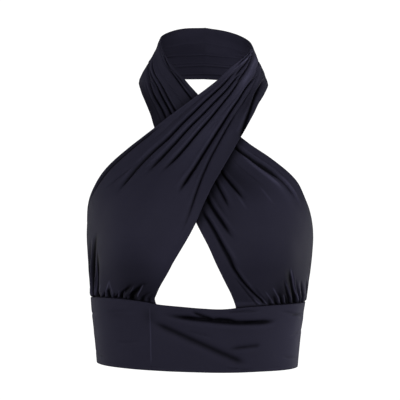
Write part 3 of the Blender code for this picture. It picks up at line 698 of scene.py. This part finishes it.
def gathers(row, across, table):
    """Relief of the gathers above the band seam, and the height of their crests."""
    narrow, deep = GATHER_CUT
    relief = np.zeros(np.broadcast(row, across).shape)
    crests = np.zeros(relief.shape)
    for place, reach, lean, depth, width in table:
        t = np.clip(row / reach, 0.0, 1.0)
        off = (across - place - lean * t) / width
        share = ease(row / GATHER_START) * (1.0 - t) ** GATHER_FADE
        valley = np.exp(-np.abs(off / (narrow + GATHER_SPREAD * t)) ** GATHER_POWER)
        swell = ease((row - CREST_ROWS[0]) / CREST_ROWS[1]) * (1.0 - t) ** CREST_FADE
        crest = depth * swell * np.exp(-((off - CREST_PLACE) / CREST_WIDTH) ** 2)
        relief = relief - deep * depth * share * valley + CREST_HEIGHT * crest
        crests = crests + crest
    return relief, crests


def band_relief(turn, height):
    """Relief of the band's creases."""
    around = signed(turn)
    total = np.zeros(turn.shape)
    for turn_from, turn_to, *heights, depth, width, rise, fall in BAND_FOLDS + BAND_FINE:
        middle, share = course((around - turn_from) / (turn_to - turn_from), heights, rise, fall)
        off = (height - middle) / width
        total = total + depth * share * crease(off, BAND_CUT, BAND_SHAPE)
    return total


def seam_welt(turn, height, top, low):
    """1 along the upright band seam, and 0 away from it and at its ends."""
    share = (ease((top - WELT_ENDS[0] - height) / WELT_FADE)
             * ease((height - low - WELT_ENDS[1]) / WELT_FADE))
    return share * np.exp(-((turn - SEAM_TURN) / SEAM_WELT_HALF) ** 2)


def panel_swell(row, across, seed):
    """Broad unevenness of a panel, from waves that don't repeat on it."""
    broad = (np.sin(1.3 * row + 5.1 * across + seed)
             * np.sin(0.7 * row - 9.0 * across + 2.0 * seed))
    small = (np.sin(2.9 * row - 13.0 * across + 3.0 * seed)
             * np.sin(1.7 * row + 17.0 * across))
    return (BROAD_SWELL * broad + SMALL_SWELL * small) * ease(row / SWELL_START)


def band_swell(turn, height, seed):
    """Broad unevenness of the band."""
    return BAND_SWELL * np.sin(0.11 * turn + seed) * np.sin(0.045 * height + 0.05 * turn)


# ---------------------------------------------------------------- painted shading
def painted_crease_shading(relief, full_depth):
    """Painted shade, low in creases, and painted highlight, high on crests."""
    return (1.0 - CREASE_SHADE * ease(-relief / full_depth)
            + CREST_PAINTED_HIGHLIGHT * ease(relief / CREST_FULL))


def painted_spot_shading(u, v, table):
    """Painted highlight and painted shade over broad stretches of the cloth."""
    return math.prod(1.0 + spot for spot in soft_spots(u, v, table))


def painted_contact_shadow(base, edges_above):
    """Painted shadow, low where the edge of the panel above lies on this one."""
    away = np.full(base.shape[:2], FAR)
    for table, row_from, row_to in edges_above:
        turn, height = edge(table, np.linspace(row_from, row_to, CONTACT_POINTS))
        for spot in figure(turn, height):
            away = np.minimum(away, np.linalg.norm(base - spot, axis=-1))
    return 1.0 - CONTACT_SHADE * np.exp(-(away / CONTACT_REACH) ** 2)


# ---------------------------------------------------------------- meshes
def add_object(name, data):
    """New object in the scene."""
    item = bpy.data.objects.new(name, data)
    bpy.context.scene.collection.objects.link(item)
    return item


def shell_faces(rows, columns):
    """Quads of an outer grid, of an inner one behind it, and of the rim between."""
    count = rows * columns
    index = np.arange(count).reshape(rows, columns)
    a = index[:-1, :-1]
    b = index[:-1, 1:]
    c = index[1:, 1:]
    d = index[1:, :-1]
    outside = np.stack([a, b, c, d], -1).reshape(-1, 4)
    inside = np.stack([a, d, c, b], -1).reshape(-1, 4) + count
    loop = np.concatenate([index[0, :], index[1:, -1], index[-1, -2::-1], index[-2:0:-1, 0]])
    after = np.roll(loop, -1)
    around = np.stack([after, loop, loop + count, after + count], -1)
    return np.concatenate([outside, inside, around])


def shell(name, outer, inner, grain, painted_shading):
    """Closed thin shell between two point grids, with its knit's map and its painted shading."""
    faces = shell_faces(*outer.shape[:2])
    points = np.concatenate([outer.reshape(-1, 3), inner.reshape(-1, 3)]) * MM
    mesh = bpy.data.meshes.new(name)
    mesh.vertices.add(len(points))
    mesh.vertices.foreach_set("co", points.ravel())
    mesh.loops.add(faces.size)
    mesh.loops.foreach_set("vertex_index", faces.ravel())
    mesh.polygons.add(len(faces))
    mesh.polygons.foreach_set("loop_start", np.arange(0, faces.size, 4))
    mesh.update(calc_edges=True)
    mesh.validate()
    both_sides = np.concatenate([grain.reshape(-1, 2), grain.reshape(-1, 2)])
    layer = mesh.uv_layers.new(name="grain")
    layer.data.foreach_set("uv", both_sides[faces.ravel()].ravel())
    layer = mesh.attributes.new("painted_shading", "FLOAT", "POINT")
    layer.data.foreach_set("value", np.concatenate([painted_shading.ravel(), painted_shading.ravel()]))
    mesh.shade_smooth()
    mesh.set_sharp_from_angle(angle=SHARP_ANGLE)
    return add_object(name, mesh)


def rim(count, inset):
    """Places from 0 to 1, with extra ones near both ends."""
    near = [step * inset for step in EDGE_STEPS]
    middle = np.linspace(near[-1], 1.0 - near[-1], count)[1:-1]
    far = [1.0 - step for step in reversed(near)]
    return np.concatenate([near, middle, far])


def roundness(place, inset):
    """Share of the wall's thickness that is left near a folded edge."""
    out = np.clip(np.minimum(place, 1.0 - place) / inset, 0.0, 1.0)
    return np.sqrt(1.0 - (1.0 - out) ** 2)


def two_faces(base, away, rise, wall, left):
    """Outer and inner face of a wall, of which a share is left at each spot."""
    middle = rise + SKIN - 0.5 * wall
    half = 0.5 * wall * left
    outer = base + away * (middle + half)[..., None]
    inner = base + away * (middle - half)[..., None]
    return outer, inner


# ---------------------------------------------------------------- front panels
def panel_rows():
    """Rows of points up a panel, close together at the band seam."""
    return np.unique(np.concatenate([SEAM_ROWS] + [np.linspace(*part) for part in ROW_GRID]))


def panel_relief(row, across, cut):
    """Pleats and gathers of a panel, and the height of the gathers' crests."""
    relief = pleats(row, across, cut["folds"], MAIN_CUT) + pleats(row, across, cut["fine"], FINE_CUT)
    gathered, crests = gathers(row, across, cut["gathers"])
    return relief + gathered, crests


def panel_rise(row, across, relief, cut):
    """How far a panel stands off the worn form."""
    rise = cut["lift"] * crossing(row, across) + relief + panel_swell(row, across, cut["seed"])
    if cut["lift"] > 0.0:
        rise = rise + margin_roll(row, across)
    swell_rows, fade_row, fade_rows = PUFF_ROWS
    rise = rise + PUFF * ease(row / swell_rows) * (1.0 - ease((row - fade_row) / fade_rows))
    return rise - TUCK_IN * (1.0 - ease((row - TUCK_IN_ROWS[0]) / TUCK_IN_ROWS[1]))


def panel_painted_shading(row, across, relief, crests, painted_contact_shade, cut):
    """Painted shade, painted shadow and painted highlights over a panel."""
    painted_shading = painted_crease_shading(relief, PANEL_CREASE_FULL) * painted_contact_shade * painted_spot_shading(row, across, cut["painted_light_spots"])
    painted_shading = painted_shading + GATHER_PAINTED_HIGHLIGHT * np.minimum(crests, GATHER_CREST_CAP)
    painted_shading = painted_shading + pleats(row, across, cut["painted_highlights"], FINE_CUT)
    return painted_shading * (1.0 - SEAM_SHADE * np.exp(-(row / SEAM_REACH) ** 2))


def panel(name, cut):
    """One front panel with its strap."""
    rows = panel_rows()
    place = rim(PANEL_COLUMNS, PANEL_INSET)
    columns = place * (1.0 + 2.0 * OVERHANG) - OVERHANG
    turn, height = panel_map(rows, columns, cut["inner"], cut["outer"])
    row = rows[:, None]
    across = columns[None, :]
    base = figure(turn, height)
    base[..., 2] -= TUCK_DOWN * (1.0 - ease(row / TUCK_DOWN_ROWS))
    relief, crests = panel_relief(row, across, cut)
    rise = panel_rise(row, across, relief, cut)
    outer, inner = two_faces(base, outward(turn, height), rise, PANEL_WALL,
                             roundness(place, PANEL_INSET)[None, :])
    grain = np.stack(np.broadcast_arrays(across * PANEL_GRAIN[0], row * PANEL_GRAIN[1]), -1)
    # Painted shade in creases, beside the edge above and at the seam, and painted highlights on
    # crests.
    painted_shading = panel_painted_shading(row, across, relief, crests, painted_contact_shadow(base, cut["above"]), cut)
    grids = [outer, inner, grain, painted_shading]
    if cut["turned"]:
        grids = [grid[:, ::-1] for grid in grids]
    return shell(name, *grids)


# Tables and values of each panel. A turned one runs across towards the wearer's
# right, and its columns are taken the other way round, so that its faces point
# out. Above are the edges that lie on it, from row to row.
OVER = {
    "inner": OVER_INNER, "outer": OVER_OUTER, "folds": OVER_FOLDS, "fine": OVER_FINE,
    "gathers": OVER_GATHERS, "painted_light_spots": OVER_PAINTED_LIGHT_SPOTS, "painted_highlights": OVER_PAINTED_HIGHLIGHTS,
    "lift": OVER_LIFT, "turned": True, "seed": 0.4, "above": (),
}
UNDER = {
    "inner": UNDER_INNER, "outer": UNDER_OUTER, "folds": UNDER_FOLDS, "fine": UNDER_FINE,
    "gathers": UNDER_GATHERS, "painted_light_spots": UNDER_PAINTED_LIGHT_SPOTS, "painted_highlights": UNDER_PAINTED_HIGHLIGHTS,
    "lift": -UNDER_SINK, "turned": False, "seed": 1.9,
    "above": ((OVER_INNER, 3.8, 9.6), (OVER_OUTER, 7.4, 10.4)),
}


# ---------------------------------------------------------------- band
def band(name, turn_from, turn_to, steps, tall, seed):
    """Part of the band between two upright seams."""
    turns = np.linspace(turn_from, turn_to, steps + 1)
    top = band_top(turns)[None, :]
    low = hem(turns)[None, :]
    up = rim(tall, BAND_INSET)[:, None]
    height = low - HEM_DROP + (top - low + HEM_DROP) * up
    turn = np.broadcast_to(turns[None, :], height.shape)
    welt = seam_welt(turn, height, top, low)
    puckers = sum(soft_spots(turn, height, BAND_PUCKERS))
    relief = band_relief(turn, height) + SEAM_WELT * welt + puckers
    rise = relief + band_swell(turn, height, seed)
    outer, inner = two_faces(figure(turn, height), outward(turn, height), rise, BAND_WALL,
                             roundness(up, BAND_INSET))
    grain = np.stack([turn * BAND_GRAIN[0], height * BAND_GRAIN[1]], -1)
    # Painted shade in the band's creases, a painted highlight on the seam's welt, and painted broad
    # highlights and shade.
    shaded = painted_crease_shading(band_relief(turn, height + BAND_SHADE_DROP), BAND_CREASE_FULL)
    painted_shading = (shaded + WELT_PAINTED_HIGHLIGHT * welt) * painted_spot_shading(turn, height, BAND_PAINTED_LIGHT_SPOTS)
    return shell(name, outer, inner, grain, painted_shading)


# ---------------------------------------------------------------- jersey
NAVY = (0.0215, 0.0204, 0.0350)
LIGHT_NAVY = (0.0250, 0.0238, 0.0405)
COURSE_SHARE = 0.6    # height of the knit's courses, to 1 for its wales


def add_node(tree, kind, values=None, **settings):
    """New shader node with its settings, and values on its own sockets."""
    node = tree.nodes.new("ShaderNode" + kind)
    for name, setting in settings.items():
        setattr(node, name, setting)
    for socket, value in (values or {}).items():
        node.inputs[socket].default_value = value
    return node


def jersey_colour(tree, dark, light):
    """Softly mottled colour, scaled by the painted shade and highlights of the mesh."""
    place = add_node(tree, "TexCoord")
    mottle = add_node(tree, "TexNoise", {"Scale": 28.0, "Detail": 3.0})
    colour = add_node(tree, "Mix", {"A": (*dark, 1.0), "B": (*light, 1.0)}, data_type="RGBA")
    painted_shading = add_node(tree, "Attribute", attribute_name="painted_shading")
    shade = add_node(tree, "VectorMath", operation="SCALE")
    tree.links.new(place.outputs["Object"], mottle.inputs["Vector"])
    tree.links.new(mottle.outputs["Fac"], colour.inputs["Factor"])
    tree.links.new(colour.outputs["Result"], shade.inputs[0])
    tree.links.new(painted_shading.outputs["Fac"], shade.inputs["Scale"])
    return shade.outputs["Vector"]


def jersey_knit(tree):
    """Fine bump of the knit: wales along the cloth and courses across it."""
    grain = add_node(tree, "UVMap", uv_map="grain")
    wales = add_node(tree, "TexWave", {"Scale": 330.0, "Distortion": 1.2, "Detail": 1.0,
                                       "Detail Scale": 3.0}, bands_direction="X")
    courses = add_node(tree, "TexWave", {"Scale": 420.0, "Distortion": 0.8},
                       bands_direction="Y")
    knit = add_node(tree, "Math", {1: COURSE_SHARE}, operation="MULTIPLY_ADD")
    bump = add_node(tree, "Bump", {"Strength": 0.12, "Distance": 0.0002})
    tree.links.new(grain.outputs["UV"], wales.inputs["Vector"])
    tree.links.new(grain.outputs["UV"], courses.inputs["Vector"])
    tree.links.new(courses.outputs["Fac"], knit.inputs[0])
    tree.links.new(wales.outputs["Fac"], knit.inputs[2])
    tree.links.new(knit.outputs["Value"], bump.inputs["Height"])
    return bump.outputs["Normal"]


def jersey(name, dark, light):
    """Smooth fine jersey with a soft sheen."""
    cloth = bpy.data.materials.new(name)
    cloth.use_nodes = True
    tree = cloth.node_tree
    shader = tree.nodes["Principled BSDF"]
    shader.inputs["Roughness"].default_value = 0.62
    shader.inputs["Specular IOR Level"].default_value = 0.07
    shader.inputs["Specular Tint"].default_value = (0.80, 0.78, 1.0, 1.0)
    tree.links.new(jersey_colour(tree, dark, light), shader.inputs["Base Color"])
    tree.links.new(jersey_knit(tree), shader.inputs["Normal"])
    return cloth


# ---------------------------------------------------------------- pieces
BANDS = (
    # name, turn_from, turn_to, steps round the body, places up, seed
    ("cloth_band_front", SEAM_TURN + FRONT_GAP, SIDE_TURN - SIDE_GAP, 260, 66, 0.3),
    ("cloth_band_side", -SIDE_TURN + SIDE_GAP, SEAM_TURN - FRONT_GAP, 130, 66, 2.1),
    ("cloth_band_back", SIDE_TURN + SIDE_GAP, 360.0 - SIDE_TURN - SIDE_GAP, 170, 40, 4.0),
)

JERSEY = jersey("jersey_navy", NAVY, LIGHT_NAVY)
over = panel("cloth_over", OVER)
under = panel("cloth_under", UNDER)
front, side, back = [band(*part) for part in BANDS]

for piece, node, flat, area, held, rests in (
        (over, "front_over", (0.24, 0.56), 0.085, "gathered", ["cloth_under"]),
        (under, "front_under", (0.24, 0.56), 0.085, "gathered", ["cloth_band_front"]),
        (front, "band_front", (0.26, 0.085), None, "stretched", ["cloth_over"]),
        (side, "band_front_side", (0.12, 0.085), None, "stretched", ["cloth_over"]),
        (back, "band_back", (0.33, 0.085), None, "stretched", ["cloth_band_front"])):
    piece.data.materials.append(JERSEY)
    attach(piece, "root")
    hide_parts(node)


# ---------------------------------------------------------------- stage
FLOOR_HALF = 30.0
FLOOR_HEIGHT = -1.3
FLOOR_COLOUR = (0.25, 0.25, 0.25, 1.0)
SKY_COLOUR = (0.96, 0.97, 1.0, 1.0)
SKY_LOW = (-0.5, 0.09)    # up direction and strength there
SKY_HIGH = (0.7, 0.03)
WHITE = 1.1           # strength at which the surroundings show as plain white


def camera_only(tree, shown, lighting, out):
    """Shows one shader to the camera and lights the scene with the other."""
    choose = add_node(tree, "MixShader")
    seen = add_node(tree, "LightPath")
    tree.links.new(seen.outputs["Is Camera Ray"], choose.inputs["Fac"])
    tree.links.new(lighting, choose.inputs[1])
    tree.links.new(shown, choose.inputs[2])
    tree.links.new(choose.outputs["Shader"], out.inputs["Surface"])


def pale_floor():
    """Wide pale floor well below the garment."""
    corners = [(-1, -1), (1, -1), (1, 1), (-1, 1)]
    points = [(x * FLOOR_HALF, y * FLOOR_HALF, FLOOR_HEIGHT) for x, y in corners]
    mesh = bpy.data.meshes.new("floor")
    mesh.from_pydata(points, [], [(0, 1, 2, 3)])
    pale = bpy.data.materials.new("pale_floor")
    pale.use_nodes = True
    tree = pale.node_tree
    paint = tree.nodes["Principled BSDF"]
    paint.inputs["Base Color"].default_value = FLOOR_COLOUR
    paint.inputs["Roughness"].default_value = 0.9
    glow = add_node(tree, "Emission", {"Strength": WHITE})
    camera_only(tree, glow.outputs["Emission"], paint.outputs["BSDF"],
                tree.nodes["Material Output"])
    mesh.materials.append(pale)
    return add_object("floor", mesh)


def studio():
    """White surroundings whose own light is faint, and a little stronger from below."""
    world = bpy.data.worlds.new("studio")
    world.use_nodes = True
    tree = world.node_tree
    sky = tree.nodes["Background"]
    sky.inputs["Color"].default_value = SKY_COLOUR
    direction = add_node(tree, "TexCoord")
    parts = add_node(tree, "SeparateXYZ")
    fall = add_node(tree, "MapRange", {"From Min": SKY_LOW[0], "From Max": SKY_HIGH[0],
                                       "To Min": SKY_LOW[1], "To Max": SKY_HIGH[1]})
    tree.links.new(direction.outputs["Generated"], parts.inputs["Vector"])
    tree.links.new(parts.outputs["Z"], fall.inputs["Value"])
    tree.links.new(fall.outputs["Result"], sky.inputs["Strength"])
    white = add_node(tree, "Background", {"Color": (1.0, 1.0, 1.0, 1.0), "Strength": WHITE})
    camera_only(tree, white.outputs["Background"], sky.outputs["Background"],
                tree.nodes["World Output"])
    return world


scene = bpy.context.scene
scene.view_settings.view_transform = "Standard"
scene.world = studio()
floor = pale_floor()

# ---------------------------------------------------------------- lamps
AIM = (0.0, -0.09, -0.2)
LAMPS = (
    # name, spot, width and height, watts
    ("front", (0.0, -2.6, 0.5), (1.2, 1.2), 25.5),
    ("front_left", (-1.4, -1.9, 0.2), (1.0, 1.4), 11.5),
    ("high_right", (0.9, -0.6, 1.6), (1.4, 1.0), 2.5),
    ("low_left", (-1.3, -1.6, -1.0), (1.2, 0.8), 0.8),
    ("side_right", (2.0, -0.5, -0.1), (1.2, 1.8), 20.0),
    ("side_left", (-2.0, 0.25, -0.1), (1.2, 1.8), 12.0),
    ("rim_right", (1.5, 1.3, -0.5), (0.8, 1.6), 9.0),
    ("rim_left", (-1.5, 1.3, -0.5), (0.8, 1.6), 5.5),
    ("back", (0.0, 2.6, 0.6), (1.4, 1.4), 9.0),
)


def placed(x_axis, y_axis, z_axis, spot):
    """Matrix of an object with these axes at this spot."""
    columns = Matrix((x_axis, y_axis, z_axis)).transposed().to_4x4()
    return Matrix.Translation(spot) @ columns


def softbox(name, spot, size, watts):
    """Soft rectangular light that looks from its spot at the garment."""
    data = bpy.data.lights.new(name, "AREA")
    data.shape = "RECTANGLE"
    data.size, data.size_y = size
    data.energy = watts
    backward = (Vector(spot) - Vector(AIM)).normalized()
    sideways = Vector((0.0, 0.0, 1.0)).cross(backward).normalized()
    add_object(name, data).matrix_world = placed(sideways, backward.cross(sideways),
                                                 backward, spot)


for lamp in LAMPS:
    softbox(*lamp)

# ---------------------------------------------------------------- camera
VIEW_WIDTH = 0.52     # of the view where the garment's front is
VIEW_DISTANCE = 2.1   # from the camera to there
CAMERA_SPOT = (0.0, -2.2, -0.2)
ROLL = math.radians(1.2)

eye = bpy.data.cameras.new("camera")
eye.angle = 2.0 * math.atan(0.5 * VIEW_WIDTH / VIEW_DISTANCE)
eye.clip_start = 0.1
eye.clip_end = 100.0
camera = add_object("camera", eye)
camera.matrix_world = placed((math.cos(ROLL), 0.0, math.sin(ROLL)),
                             (-math.sin(ROLL), 0.0, math.cos(ROLL)),
                             (0.0, -1.0, 0.0), CAMERA_SPOT)
scene.camera = camera
